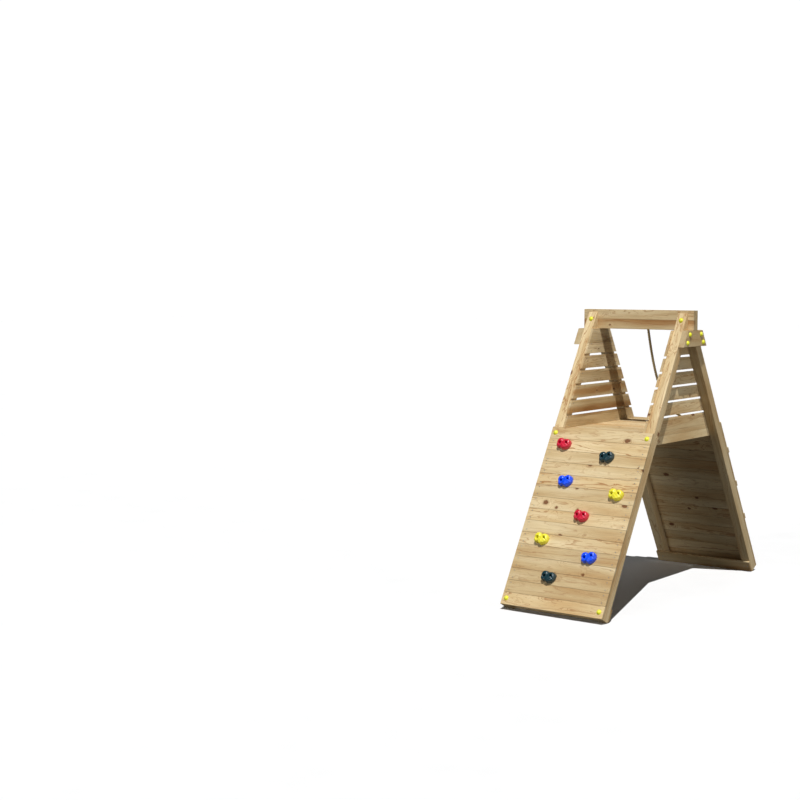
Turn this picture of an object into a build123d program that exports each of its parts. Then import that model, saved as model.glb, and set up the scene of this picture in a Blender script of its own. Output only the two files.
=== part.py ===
"""Timber A-frame climbing module: a board wall with holds, a deck, guards, a ramp and a rope.

Millimetres, +Z up. The origin is on the ground under the middle of the ridge beam. +X runs along the
beam, the climbing wall faces -Y and the ramp faces +Y. Leg coordinates are s, up along a leg from the
ground, and h, outwards from the inner face of the legs.
"""
from build123d import *
from math import atan2, cos, degrees, pi, radians, sin, tan
import os

# ---- Driving dimensions -------------------------------------------------------------------------
frame_width = 800.0            # over the legs' outer faces
foot_half_spread = 1124.0      # from the middle to the ground line of the front or rear legs
beam_bottom = 1905.0           # underside of the ridge beam above the ground
beam_depth = 60.0              # along Y
lamination_height = 70.0       # each of the two laminations
leg_width = 70.0               # along X
leg_depth = 70.0               # square to the slope
leg_top = 2025.0               # level cut at the top of the legs
gusset_thickness = 45.0        # along X
gusset_height = 115.0
timber_arris = 3.0             # radius of the planed edges of legs, beam and gussets
board_arris = 1.0              # radius of the planed edges of boards, battens and bearers

board_width = 89.0
board_gap = 1.0                # between butted boards
board_thickness = 16.0
wall_board_count = 15
foot_board_lift = 12.0         # from the leg's foot to the foot board, along the leg
slat_gap_wanted = 16.0         # open gap between guard slats, before they are spaced out evenly
slat_proud = 8.0               # slat ends past the legs' outer faces
guard_below_deck = 94.0        # from the deck's surface down to the guard's lower edge
deck_gap_wanted = 4.0          # between deck boards, before they are spaced out evenly
deck_side_gap = 1.0            # deck boards to the guards
deck_edge_gap = 2.0            # deck boards to the back of the wall and of the ramp
bearer_width = 45.0
bearer_height = 45.0
bearer_end_gap = 6.0           # bearers to the back of the wall and of the ramp

batten_thickness = 22.0
batten_height = 45.0
batten_inset = 4.0             # batten ends from the boards' ends
batten_count = 3
batten_first = 466.0           # lowest batten's middle, along the ramp
batten_pitch = 309.0

long_bolt_radius = 5.0
washer_radius = 10.0
washer_thickness = 2.0
long_bolt_head_flat = 16.0     # across flats
long_bolt_head_height = 6.5
coach_radius = 4.0
bolt_seat_depth = 5.0          # flat seat cut into a leg's sloping face for a washer
coach_head_flat = 13.0         # across flats
coach_head_height = 5.5
coach_washer_thickness = 1.6
gusset_coach_length = 95.0
panel_coach_length = 70.0
gusset_coach_edge = 28.5       # from the gusset's upper and lower edges to its coach screws
cap_radius = 17.0
cap_flange = 3.0               # straight part at the foot of a cap
cap_dome_radius = 15.5         # at the top of the flange
cap_height = 14.0
cap_clearance = 0.3            # between a cap and what is under it

screw_radius = 2.0
screw_head_radius = 4.0
screw_head_height = 2.5
screw_length = 45.0
deck_screw_length = 40.0
bearer_screw_length = 58.0
bearer_screw_drop = 32.0       # below the deck's underside, under the deck screws
bearer_screw_pitch = 400.0
screw_spread = 26.0            # from a board's middle line to each of its two screws
screw_off_centre = 14.0        # from a guard or foot board's crossing line, clear of the others

hold_lobe_radius = 31.0
hold_lobe_spread = 25.0        # from the hold's middle to each lobe's centre and each screw
hold_tip_radius = 20.0
hold_tip_drop = 32.0
hold_flank_angle = 30.0        # below level, where a flank leaves its lobe and meets the tip
hold_height = 40.0
hold_taper = 14.0              # degrees
hold_rounding = 9.0
hold_screw_radius = 3.0
hold_screw_length = 52.0       # under the head
hold_recess_radius = 8.0
hold_recess_depth = 26.0
hold_head_radius = 6.5
hold_head_height = 5.0
hold_places = (                # X, s and the tilt in degrees of each hold
    ("hold_red_upper", -262.0, 1221.0, 4.0),
    ("hold_teal_upper", 103.0, 1146.0, 18.0),
    ("hold_blue_upper", -165.0, 943.0, 18.0),
    ("hold_yellow_upper", 256.0, 876.0, 4.0),
    ("hold_red_lower", 38.0, 697.0, 4.0),
    ("hold_yellow_lower", -217.0, 501.0, 4.0),
    ("hold_blue_lower", 185.0, 407.0, 20.0),
    ("hold_teal_lower", -77.0, 235.0, 4.0),
)

rope_diameter = 18.0
rope_hole_radius = 10.5
rope_x = 70.0
knot_well_radius = 24.0
knot_well_depth = 40.0
knot_radius = 20.0
end_knot_radius = 24.0
knot_seat_share = 0.8          # of a knot's radius, from its seat to its middle
run_share = 0.45               # of the shorter run beside a bend of the rope that its arc takes up
rope_route = (                 # from the beam's underside over the deck's rear edge and down the ramp
    (70.0, 0.0, 1905.0),
    (70.0, 30.0, 1805.0),
    (70.0, 76.0, 1680.0),
    (70.0, 138.0, 1550.0),
    (71.0, 218.0, 1430.0),
    (73.0, 312.0, 1325.0),
    (75.0, 430.0, 1266.0),
    (74.0, 546.0, 1234.0),
    (69.0, 624.0, 1114.0),
    (63.0, 720.0, 944.0),
    (61.0, 831.0, 754.0),
    (66.0, 934.0, 571.0),
    (73.0, 1037.0, 394.0),
    (76.0, 1089.0, 289.0),
)

# ---- Derived places -----------------------------------------------------------------------------
lean = atan2(foot_half_spread - beam_depth / 2, beam_bottom)  # legs from the vertical
beam_top = beam_bottom + 2 * lamination_height
beam_half_length = frame_width / 2 + gusset_thickness
leg_line_x = frame_width / 2 - leg_width / 2
long_edge = 3 * min(lamination_height, leg_depth)  # only planed edges are longer
guard_outer_x = frame_width / 2 - leg_width
guard_inner_x = guard_outer_x - board_thickness
board_pitch = board_width + board_gap
panel_face = leg_depth + board_thickness
panel_length = wall_board_count * board_pitch - board_gap
deck_top = panel_length * cos(lean) + leg_depth * sin(lean)
deck_underside = deck_top - board_thickness


def leg_y(z, h):
    """Distance from the middle, along Y, of the plane h outside the legs' inner faces, at height z."""
    return foot_half_spread + h / cos(lean) - z * tan(lean)


def leg_plane(side):
    """Plane on the legs' inner faces: local Y up the leg, local Z outwards. side is -1 front, +1 rear."""
    return Plane(
        origin=(0, side * foot_half_spread, 0),
        x_dir=(-side, 0, 0),
        z_dir=(0, side * cos(lean), sin(lean)),
    )


def eased(timber, radius):
    """Timber with its long planed edges rounded and its sawn ends left square."""
    return fillet([edge for edge in timber.edges() if edge.length > long_edge], radius)


def prism_x(outline, x0, x1, arris):
    """Timber between x0 and x1 of an outline of (y, z) points."""
    wire = Polyline([(x0, y, z) for y, z in outline], close=True)
    return eased(extrude(make_face(wire), amount=x1 - x0, dir=(1, 0, 0)), arris)


def rod(place, radius, depth, top=0.0):
    """Round bar along the place's Z, from depth below it to top above it."""
    return place * Pos(0, 0, (top - depth) / 2) * Cylinder(radius, depth + top)


def hexagon(place, flats, z0, z1):
    """Hexagonal bar on the place's Z axis."""
    return place * extrude(Pos(0, 0, z0) * RegularPolygon(flats / 2, 6, major_radius=False), amount=z1 - z0)


def fixing(place, radius, length, flats, head_height, washer_height):
    """Hexagon-headed screw or bolt with a washer: head above the place, shank below it."""
    head = hexagon(place, flats, washer_height, washer_height + head_height)
    washer = place * Pos(0, 0, washer_height / 2) * Cylinder(washer_radius, washer_height)
    return head + washer + rod(place, radius, length, washer_height)


def cap(place, cover_height):
    """Flanged, domed plastic cap whose hollow covers a washer and head of the given height."""
    dome_height = cap_height - cap_flange
    sphere_radius = (cap_dome_radius**2 + dome_height**2) / (2 * dome_height)
    sphere = place * Pos(0, 0, cap_height - sphere_radius) * Sphere(sphere_radius)
    body = (sphere & rod(place, cap_dome_radius, 0, cap_height)) + rod(place, cap_radius, 0, cap_flange)
    return body - rod(place, washer_radius + cap_clearance, 1, cover_height + cap_clearance)


def wood_screw(place, length):
    """Countersunk screw with its head flush with the place."""
    head = Pos(0, 0, -screw_head_height / 2) * Cone(screw_radius, screw_head_radius, screw_head_height)
    return place * head + rod(place * Pos(0, 0, -screw_head_height), screw_radius, length - screw_head_height)


def x_pairs(x):
    """The two mirrored X places of a fixing."""
    return (-x, x)


# ---- Timber -------------------------------------------------------------------------------------
parts = {}
board_screws = []
coach_screws = []
caps = []


def leg(side, x_side):
    """Leg with a square foot, a plumb cut on the beam's face and a level top."""
    foot_z = leg_depth * sin(lean)
    outline = [
        (side * foot_half_spread, 0.0),
        (side * (foot_half_spread + leg_depth * cos(lean)), foot_z),
        (side * leg_y(leg_top, leg_depth), leg_top),
        (side * beam_depth / 2, leg_top),
        (side * beam_depth / 2, beam_bottom),
    ]
    inner = x_side * guard_outer_x
    outer = x_side * frame_width / 2
    return prism_x(outline, min(inner, outer), max(inner, outer), timber_arris)


def gusset(x_side):
    """Block under the beam, its ends in line with the legs' outer faces."""
    low = beam_bottom - gusset_height
    top_y = leg_y(beam_bottom, leg_depth)
    low_y = leg_y(low, leg_depth)
    outline = [(-top_y, beam_bottom), (top_y, beam_bottom), (low_y, low), (-low_y, low)]
    inner = x_side * frame_width / 2
    outer = x_side * (frame_width / 2 + gusset_thickness)
    return prism_x(outline, min(inner, outer), max(inner, outer), timber_arris)


def cross_board(side, s0, h0, half_length=frame_width / 2, width=board_width, thickness=board_thickness):
    """Board along X on the legs of one side, from s0 up the leg and h0 outwards."""
    board = Pos(0, s0 + width / 2, h0 + thickness / 2) * Box(2 * half_length, width, thickness)
    return leg_plane(side) * eased(board, board_arris)


def guard_levels():
    """Lower edge of each guard board, from the top down: a butted pair, evenly spaced singles, a pair."""
    top_pair = beam_bottom - board_width - board_pitch
    low_pair = deck_top - guard_below_deck
    space = top_pair - (low_pair + board_pitch + board_width)
    singles = round((space - slat_gap_wanted) / (board_width + slat_gap_wanted))
    pitch = board_width + (space - singles * board_width) / (singles + 1)
    single_levels = [top_pair - n * pitch for n in range(1, singles + 1)]
    return [top_pair + board_pitch, top_pair, *single_levels, low_pair + board_pitch, low_pair]


def guard_board(x_side, z0):
    """Guard slat whose ends follow the legs; those behind the wall stop flush with the legs."""
    panel_top = panel_length * cos(lean) + panel_face * sin(lean)
    end_h = leg_depth if z0 < panel_top else leg_depth + slat_proud
    z1 = z0 + board_width
    top_y = leg_y(z1, end_h)
    low_y = leg_y(z0, end_h)
    outline = [(-top_y, z1), (top_y, z1), (low_y, z0), (-low_y, z0)]
    inner = x_side * guard_inner_x
    outer = x_side * guard_outer_x
    return prism_x(outline, min(inner, outer), max(inner, outer), board_arris)


lamination = eased(Box(2 * beam_half_length, beam_depth, lamination_height), timber_arris)
parts["beam_lamination_lower"] = Pos(0, 0, beam_bottom + lamination_height / 2) * lamination
parts["beam_lamination_upper"] = Pos(0, 0, beam_top - lamination_height / 2) * lamination

for side, side_name in ((-1, "front"), (1, "rear")):
    for x_side, x_name in ((-1, "left"), (1, "right")):
        parts[f"leg_{side_name}_{x_name}"] = leg(side, x_side)

for x_side, x_name in ((-1, "left"), (1, "right")):
    parts[f"gusset_{x_name}"] = gusset(x_side)

foot_board_row = [cross_board(side, foot_board_lift, -board_thickness) for side in (-1, 1)]
wall_rows = [n * board_pitch for n in range(wall_board_count)]
wall_boards = [cross_board(-1, s0, leg_depth) for s0 in wall_rows]
ramp_boards = [cross_board(1, s0, leg_depth) for s0 in wall_rows]

batten_rows = [batten_first + n * batten_pitch for n in range(batten_count)]
batten_half_length = frame_width / 2 - batten_inset
battens = [
    cross_board(1, s - batten_height / 2, panel_face, batten_half_length, batten_height, batten_thickness)
    for s in batten_rows
]

left_slats, right_slats = ([guard_board(x_side, z0) for z0 in guard_levels()] for x_side in (-1, 1))

deck_half_length = leg_y(deck_top, leg_depth) - deck_edge_gap
deck_board_count = int((2 * deck_half_length + deck_gap_wanted) / (board_width + deck_gap_wanted))
deck_pitch = (2 * deck_half_length - board_width) / (deck_board_count - 1)
deck_middles = [(n - (deck_board_count - 1) / 2) * deck_pitch for n in range(deck_board_count)]
deck_half_width = guard_inner_x - deck_side_gap
deck_board = eased(Box(2 * deck_half_width, board_width, board_thickness), board_arris)
deck_boards = [Pos(0, y, deck_top - board_thickness / 2) * deck_board for y in deck_middles]

bearer_half_length = leg_y(deck_underside, leg_depth) - bearer_end_gap
bearer_line_x = guard_inner_x - bearer_width / 2
bearers = [
    Pos(x, 0, deck_underside - bearer_height / 2)
    * eased(Box(bearer_width, 2 * bearer_half_length, bearer_height), board_arris)
    for x in x_pairs(bearer_line_x)
]

# ---- Beam bolts: head, leg, beam, leg, washer and nut --------------------------------------------
beam_bolts = []
beam_bolt_z = beam_bottom + lamination_height
seat_y = leg_y(beam_bolt_z, leg_depth)
seat_half = seat_y - bolt_seat_depth
seat_cutters = []
bolt_holes = []
reach = washer_thickness + long_bolt_head_height
for x in x_pairs(leg_line_x):
    front, rear = (
        Plane(origin=(x, side * seat_half, beam_bolt_z), x_dir=(-side, 0, 0), z_dir=(0, side, 0)).location
        for side in (-1, 1)
    )
    for place in (front, rear):
        seat_cutters.append(rod(place, cap_radius + cap_clearance, 0, cap_radius + bolt_seat_depth))
        caps.append(cap(place, reach))
    beam_bolts.append(fixing(front, long_bolt_radius, 2 * seat_half + reach, long_bolt_head_flat,
                             long_bolt_head_height, washer_thickness))
    nut = hexagon(rear, long_bolt_head_flat, washer_thickness, reach)
    washer = rear * Pos(0, 0, washer_thickness / 2) * Cylinder(washer_radius, washer_thickness)
    beam_bolts.append((nut + washer) - rod(rear, long_bolt_radius, 1, reach + 1))
    bolt_holes.append(rod(front, long_bolt_radius, 2 * seat_half + 1, 1))

# ---- Coach screws and their holes ---------------------------------------------------------------
coach_holes = []


def add_coach_screw(place, length):
    """Coach screw with its cap and its hole."""
    head = (coach_head_flat, coach_head_height, coach_washer_thickness)
    coach_screws.append(fixing(place, coach_radius, length, *head))
    caps.append(cap(place, coach_washer_thickness + coach_head_height))
    coach_holes.append(rod(place, coach_radius, length, 1))


for x_side in (-1, 1):
    for drop in (gusset_coach_edge, gusset_height - gusset_coach_edge):
        z = beam_bottom - drop
        for side in (-1, 1):
            face = Plane(
                origin=(x_side * (frame_width / 2 + gusset_thickness), side * leg_y(z, leg_depth / 2), z),
                x_dir=(0, x_side, 0),
                z_dir=(x_side, 0, 0),
            )
            add_coach_screw(face.location, gusset_coach_length)
for side in (-1, 1):
    for s in (wall_rows[0] + board_width / 2, wall_rows[-1] + board_width / 2):
        for x in x_pairs(leg_line_x):
            add_coach_screw((leg_plane(side) * Pos(x, s, panel_face)), panel_coach_length)

# ---- Wood screws and their holes ----------------------------------------------------------------


def add_screw(place, length=screw_length):
    """Wood screw in the list of screws."""
    board_screws.append((place, length))


for side in (-1, 1):
    plane = leg_plane(side)
    for row, s0 in enumerate(wall_rows):
        coach_here = row in (0, wall_board_count - 1)
        for x in x_pairs(leg_line_x):
            for ds in () if coach_here else (-screw_spread, screw_spread):
                add_screw(plane * Pos(x, s0 + board_width / 2 + ds, panel_face))
    for x in x_pairs(leg_line_x):
        for dx in (-screw_off_centre, screw_off_centre):
            s = foot_board_lift + board_width / 2
            add_screw(plane * Pos(x + dx, s, -board_thickness) * Rot(180, 0, 0))
for s in batten_rows:
    for x in x_pairs(leg_line_x):
        for dx in (-screw_off_centre, screw_off_centre):
            place = leg_plane(1) * Pos(x + dx, s, panel_face + batten_thickness)
            add_screw(place, screw_length + batten_thickness)
for x_side in (-1, 1):
    for z0 in guard_levels():
        z = z0 + board_width / 2
        for side in (-1, 1):
            for dz, off in ((-screw_spread, -screw_off_centre), (screw_spread, screw_off_centre)):
                y = side * (leg_y(z + dz, leg_depth / 2) + off)
                start = (x_side * guard_inner_x, y, z + dz)
                add_screw(Plane(origin=start, x_dir=(0, -x_side, 0), z_dir=(-x_side, 0, 0)).location)
for y in deck_middles:
    for x in x_pairs(bearer_line_x):
        for dy in (-screw_spread, screw_spread):
            add_screw(Location((x, y + dy, deck_top)), deck_screw_length)
for x_side in (-1, 1):
    for row in (-1, 0, 1):
        x = x_side * (guard_inner_x - bearer_width)
        start = (x, row * bearer_screw_pitch, deck_underside - bearer_screw_drop)
        side_face = Plane(origin=start, x_dir=(0, x_side, 0), z_dir=(-x_side, 0, 0))
        add_screw(side_face.location, bearer_screw_length)

# ---- Climbing holds -----------------------------------------------------------------------------


def hold_shape():
    """Heart-shaped grip with two lobes, a lower tip, tapered sides and two screw recesses, base at Z 0."""
    lobes = [Pos(x, 0) * Circle(hold_lobe_radius) for x in x_pairs(hold_lobe_spread)]
    tip = Pos(0, -hold_tip_drop) * Circle(hold_tip_radius)
    flank = radians(hold_flank_angle)
    lobe_x = hold_lobe_spread + hold_lobe_radius * cos(flank)
    lobe_y = -hold_lobe_radius * sin(flank)
    tip_x = hold_tip_radius * cos(flank)
    tip_y = -hold_tip_drop - hold_tip_radius * sin(flank)
    corners = [(-lobe_x, lobe_y), (lobe_x, lobe_y), (tip_x, tip_y), (-tip_x, tip_y)]
    waist = make_face(Polyline(corners, close=True))
    middle = Rectangle(2 * hold_lobe_spread, hold_lobe_radius)
    outline = lobes[0] + lobes[1] + tip + waist + middle
    body = extrude(outline, amount=hold_height, taper=hold_taper)
    body = fillet(body.faces().sort_by(Axis.Z)[-1].edges(), hold_rounding)
    for x in x_pairs(hold_lobe_spread):
        top = Pos(x, 0, hold_height)
        body -= rod(top, hold_recess_radius, hold_recess_depth, 1)
        body -= rod(top, hold_screw_radius, hold_height + 1)
    return body


hold_screw_seat = hold_height - hold_recess_depth
hold_template = hold_shape()
hold_screws = []
hold_holes = []
for name, x, s, tilt in hold_places:
    place = leg_plane(-1) * Pos(x, s, panel_face) * Rot(0, 0, tilt)
    parts[name] = place * hold_template
    for dx in x_pairs(hold_lobe_spread):
        seat = place * Pos(dx, 0, hold_screw_seat)
        head = seat * Pos(0, 0, hold_head_height / 2) * Cylinder(hold_head_radius, hold_head_height)
        hold_screws.append(head + rod(seat, hold_screw_radius, hold_screw_length - board_thickness, 1))
        hold_holes.append(rod(seat, hold_screw_radius, hold_screw_length - board_thickness))

# ---- Holes in the timber ------------------------------------------------------------------------
screw_holes = [wood_screw(place, length) for place, length in board_screws]
all_holes = bolt_holes + seat_cutters + coach_holes + screw_holes + hold_holes
hole_boxes = [hole.bounding_box() for hole in all_holes]


def drilled(solid):
    """The solid without the holes that meet its box."""
    box = solid.bounding_box()
    near = [
        hole for hole, other in zip(all_holes, hole_boxes)
        if all((
            other.min.X < box.max.X, other.max.X > box.min.X,
            other.min.Y < box.max.Y, other.max.Y > box.min.Y,
            other.min.Z < box.max.Z, other.max.Z > box.min.Z,
        ))
    ]
    return solid - near if near else solid


for name in [key for key in parts if not key.startswith("hold_")]:
    parts[name] = drilled(parts[name])
for number, board in enumerate(wall_boards, start=1):
    parts[f"wall_board_{number:02d}"] = drilled(board)
groups = {
    "foot_boards": [drilled(board) for board in foot_board_row],
    "ramp_boards": [drilled(board) for board in ramp_boards],
    "ramp_battens": [drilled(board) for board in battens],
    "guard_slats_left": [drilled(board) for board in left_slats],
    "guard_slats_right": [drilled(board) for board in right_slats],
    "deck_boards": [drilled(board) for board in deck_boards],
    "deck_bearers": [drilled(board) for board in bearers],
    "beam_bolts": beam_bolts,
    "coach_screws": coach_screws,
    "bolt_caps": caps,
    "hold_screws": hold_screws,
    "board_screws": screw_holes,
}

# ---- Rope ---------------------------------------------------------------------------------------


def seated_knot(place, radius):
    """Round stopper knot with a flat side on the place's XY plane, rising along its Z."""
    ball = place * Pos(0, 0, knot_seat_share * radius) * Sphere(radius)
    return ball & rod(place, radius, 0, 2 * radius)


rope_well = Location((rope_x, 0, beam_top))
knot_floor = beam_top - knot_well_depth
parts["beam_lamination_upper"] -= rod(rope_well, knot_well_radius, knot_well_depth, 1)
for name in ("beam_lamination_upper", "beam_lamination_lower"):
    parts[name] -= rod(rope_well, rope_hole_radius, beam_top - beam_bottom + 1)
well_floor = Location((rope_x, 0, knot_floor))
top_knot = seated_knot(well_floor, knot_radius)
parts["rope_top_knot"] = top_knot + rod(well_floor, rope_diameter / 2, knot_floor - beam_bottom, 1)


def corner_radii(points):
    """Largest arc for each corner of the route, from a share of its shorter run and half its turn."""
    radii = []
    for before, here, after in zip(points, points[1:], points[2:]):
        run_in = Vector(*here) - Vector(*before)
        run_out = Vector(*after) - Vector(*here)
        half_turn = radians(run_in.get_angle(run_out)) / 2
        radii.append(run_share * min(run_in.length, run_out.length) / tan(half_turn))
    return radii


rope_radii = corner_radii(rope_route)
rope_path = FilletPolyline(*rope_route, radius=rope_radii)
start_direction = (Vector(*rope_route[1]) - Vector(*rope_route[0])).normalized()
rope_section = Plane(origin=rope_route[0], z_dir=start_direction) * Circle(rope_diameter / 2)
rope_tube = sweep(rope_section, path=rope_path)
rope_tube -= rod(Location((rope_x, 0, beam_bottom)), 2 * rope_diameter, 0, rope_diameter)
parts["climbing_rope"] = rope_tube
end = Vector(*rope_route[-1])
end_direction = (end - Vector(*rope_route[-2])).normalized()
end_plane = Plane(origin=end, z_dir=end_direction)
parts["rope_end_knot"] = seated_knot(end_plane.location, end_knot_radius)
section_volume = pi * (rope_diameter / 2) ** 2 * rope_path.length
print("rope radii", [round(r) for r in rope_radii], "length", round(rope_path.length, 1))
print("rope volume / section times length", round(rope_tube.volume / section_volume, 4))
print("lean", round(degrees(lean), 2), "deck top", round(deck_top, 1))
print("deck half length", round(deck_half_length, 1))

# ---- Export -------------------------------------------------------------------------------------
os.makedirs("parts", exist_ok=True)
for name, solids in groups.items():
    parts[name] = Compound(children=[solid.solid() if hasattr(solid, "solid") else solid for solid in solids])
for name, shape in parts.items():
    export_step(shape, f"parts/{name}.step")
print(len(parts), "nodes")
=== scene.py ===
"""Looks of a timber A-frame climbing module: planed pine, moulded grips, snap caps, steel screws and a laid rope.

Metres, in the model's own frame: the origin is on the ground under the middle of the ridge beam, +X along the
beam, the climbing wall towards -Y, +Z up.
"""
from math import atan2, cos, pi, radians, sin

import bpy
import numpy as np
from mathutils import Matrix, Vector


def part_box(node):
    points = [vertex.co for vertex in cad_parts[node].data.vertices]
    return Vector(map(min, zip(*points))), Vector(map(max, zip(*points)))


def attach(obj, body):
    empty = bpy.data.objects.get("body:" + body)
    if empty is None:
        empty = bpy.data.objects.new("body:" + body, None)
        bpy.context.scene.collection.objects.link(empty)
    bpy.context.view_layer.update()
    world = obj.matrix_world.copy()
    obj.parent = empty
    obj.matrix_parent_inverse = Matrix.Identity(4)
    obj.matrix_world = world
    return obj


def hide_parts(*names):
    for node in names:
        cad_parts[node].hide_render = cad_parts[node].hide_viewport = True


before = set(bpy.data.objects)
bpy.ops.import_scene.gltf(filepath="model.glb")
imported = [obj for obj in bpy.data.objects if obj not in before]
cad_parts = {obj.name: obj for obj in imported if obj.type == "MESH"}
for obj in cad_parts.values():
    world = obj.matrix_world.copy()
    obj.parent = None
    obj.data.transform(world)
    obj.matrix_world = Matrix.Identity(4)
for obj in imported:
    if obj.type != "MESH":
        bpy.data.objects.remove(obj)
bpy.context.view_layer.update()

# ---- Camera -------------------------------------------------------------------------------------
# Standing height, in front of the module's right corner, looking very slightly down.
camera_data = bpy.data.cameras.new("camera")
camera_data.sensor_width = 36.0
camera_data.lens = 68.1
camera = bpy.data.objects.new("camera", camera_data)
camera.location = (5.304, -9.762, 2.280)
camera.rotation_euler = (radians(85.36), 0.0, radians(37.51))
bpy.context.scene.collection.objects.link(camera)
bpy.context.scene.camera = camera

# ---- Climbing rope ------------------------------------------------------------------------------
# Three strands of brown spun fibre laid into a rope of 18 mm nominal size, 19 mm over the strands' crowns. It
# hangs from its hole in the beam over the deck's rear edge and lies down the ramp to a stopper knot.
rope_exit = (0.070, 0.0, 1.905)
rope_lay = 0.056               # one turn of a strand
strand_radius = 0.0050
strand_circle = 0.0045         # from the rope's middle line to a strand's
strand_sides = 12
rope_step = 0.0025             # between the rings of a strand
end_knot_radius = 0.024
end_knot_offset = 0.022        # from the route's end to the knot's middle
tail_length = 0.052            # of rope through the end knot
top_knot_radius = 0.020
top_knot_depth = 0.0205        # from the top of the knot's hole to the knot's middle
neck_depth = 0.002             # from there to the rope's cut end
rope_route = np.array([
    (0.070, 0.000, 1.905),
    (0.070, 0.030, 1.805),
    (0.070, 0.076, 1.680),
    (0.070, 0.138, 1.550),
    (0.071, 0.218, 1.430),
    (0.073, 0.312, 1.325),
    (0.075, 0.430, 1.266),
    (0.074, 0.546, 1.234),
    (0.069, 0.624, 1.114),
    (0.063, 0.720, 0.944),
    (0.061, 0.831, 0.754),
    (0.066, 0.934, 0.571),
    (0.073, 1.037, 0.394),
    (0.076, 1.089, 0.289),
])


def linear(hex_colour):
    """Linear RGBA of an sRGB hex colour."""
    levels = np.array([int(hex_colour[i:i + 2], 16) for i in (1, 3, 5)]) / 255
    low = levels <= 0.04045
    return (*np.where(low, levels / 12.92, ((levels + 0.055) / 1.055) ** 2.4), 1.0)


def add(tree, kind, inputs=None, stops=(), **settings):
    """Adds a node with its settings and returns its outputs.

    An input is given a constant or another node's output, and a colour ramp its (position, hex colour) stops.
    """
    node = tree.nodes.new(kind)
    for key, value in settings.items():
        setattr(node, key, value)
    for _ in stops[2:]:
        node.color_ramp.elements.new(0.5)
    for (position, colour), element in zip(stops, node.color_ramp.elements if stops else ()):
        element.position = position
        element.color = linear(colour)
    for socket, value in (inputs or {}).items():
        if isinstance(value, bpy.types.NodeSocket):
            tree.links.new(value, node.inputs[socket])
        else:
            node.inputs[socket].default_value = value
    return node.outputs


def new_material(name):
    """Empty node material: its tree and its output node's surface socket."""
    material = bpy.data.materials.new(name)
    material.use_nodes = True
    tree = material.node_tree
    tree.nodes.clear()
    output = tree.nodes.new("ShaderNodeOutputMaterial")
    return material, tree, output.inputs["Surface"]


def spline_line(route, per_run):
    """Points of the NURBS spline of order 3 that has the route's points as its control points."""
    curve = bpy.data.curves.new("route", "CURVE")
    curve.dimensions = "3D"
    curve.resolution_u = per_run
    spline = curve.splines.new("NURBS")
    spline.points.add(len(route) - 1)
    spline.points.foreach_set("co", np.column_stack([route, np.ones(len(route))]).ravel())
    spline.order_u = 3
    spline.use_endpoint_u = True
    carrier = bpy.data.objects.new("route", curve)
    mesh = bpy.data.meshes.new_from_object(carrier)
    line = np.empty(len(mesh.vertices) * 3)
    mesh.vertices.foreach_get("co", line)
    bpy.data.objects.remove(carrier)
    bpy.data.curves.remove(curve)
    bpy.data.meshes.remove(mesh)
    return line.reshape(-1, 3)


def evened(line, step):
    """The line with its points one step apart, and how far along it each one is."""
    at = np.concatenate([[0.0], np.cumsum(np.linalg.norm(np.diff(line, axis=0), axis=1))])
    wanted = np.linspace(0.0, at[-1], int(at[-1] / step) + 1)
    return np.column_stack([np.interp(wanted, at, axis) for axis in line.T]), wanted


def unit(vectors):
    """Vectors of length one along the last axis."""
    return vectors / np.linalg.norm(vectors, axis=-1, keepdims=True)


def grid_quads(rows, columns, closed_rows=False):
    """Corners of a grid's quads as unwrapped (row, column) pairs, joined round its columns."""
    row, column = np.meshgrid(np.arange(rows if closed_rows else rows - 1), np.arange(columns), indexing="ij")
    steps = np.array([(0, 0), (0, 1), (1, 1), (1, 0)])
    return np.stack([row, column], axis=-1)[:, :, None, :] + steps


def tube(centres, outward, radius, sides, closed=False):
    """Round tube: each ring is square to the line of centres and starts in its outward direction.

    ring = centre + radius (cos a * outward' + sin a * across), with outward' the part of outward that is
    square to the line and across square to both. Gives the vertices, the quads and their (turn, ring) UVs.
    """
    ahead = np.roll(centres, -1, axis=0) - np.roll(centres, 1, axis=0) if closed else np.gradient(centres, axis=0)
    ahead = unit(ahead)
    out = unit(outward - (outward * ahead).sum(-1, keepdims=True) * ahead)
    across = np.cross(ahead, out)
    angle = np.linspace(0, 2 * pi, sides, endpoint=False)[None, :, None]
    rings = centres[:, None] + radius * (np.cos(angle) * out[:, None] + np.sin(angle) * across[:, None])
    corners = grid_quads(len(centres), sides, closed)
    numbers = (corners[..., 0] % len(centres)) * sides + corners[..., 1] % sides
    return rings.reshape(-1, 3), numbers.reshape(-1, 4), corners.reshape(-1, 4, 2) / (1, sides)


def make_piece(name, parts, material, caps=()):
    """One smooth mesh object from (vertices, faces, UVs) parts, on the fixed body, with its finish."""
    vertices, faces, uvs, first = [], [], [], 0
    for part_vertices, part_faces, part_uvs in parts:
        vertices.append(part_vertices)
        faces.extend((part_faces + first).tolist())
        uvs.append(part_uvs.reshape(-1, 2))
        first += len(part_vertices)
    mesh = bpy.data.meshes.new(name)
    mesh.from_pydata(np.concatenate(vertices), [], faces + [list(cap) for cap in caps])
    layer = mesh.uv_layers.new(name="surface")
    plain = np.zeros((len(mesh.loops), 2))
    told = np.concatenate(uvs)
    plain[:len(told)] = told
    layer.data.foreach_set("uv", plain.ravel())
    mesh.polygons.foreach_set("use_smooth", np.ones(len(mesh.polygons), bool))
    mesh.materials.append(material)
    mesh.update()
    piece = bpy.data.objects.new(name, mesh)
    bpy.context.scene.collection.objects.link(piece)
    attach(piece, "root")
    return piece


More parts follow.
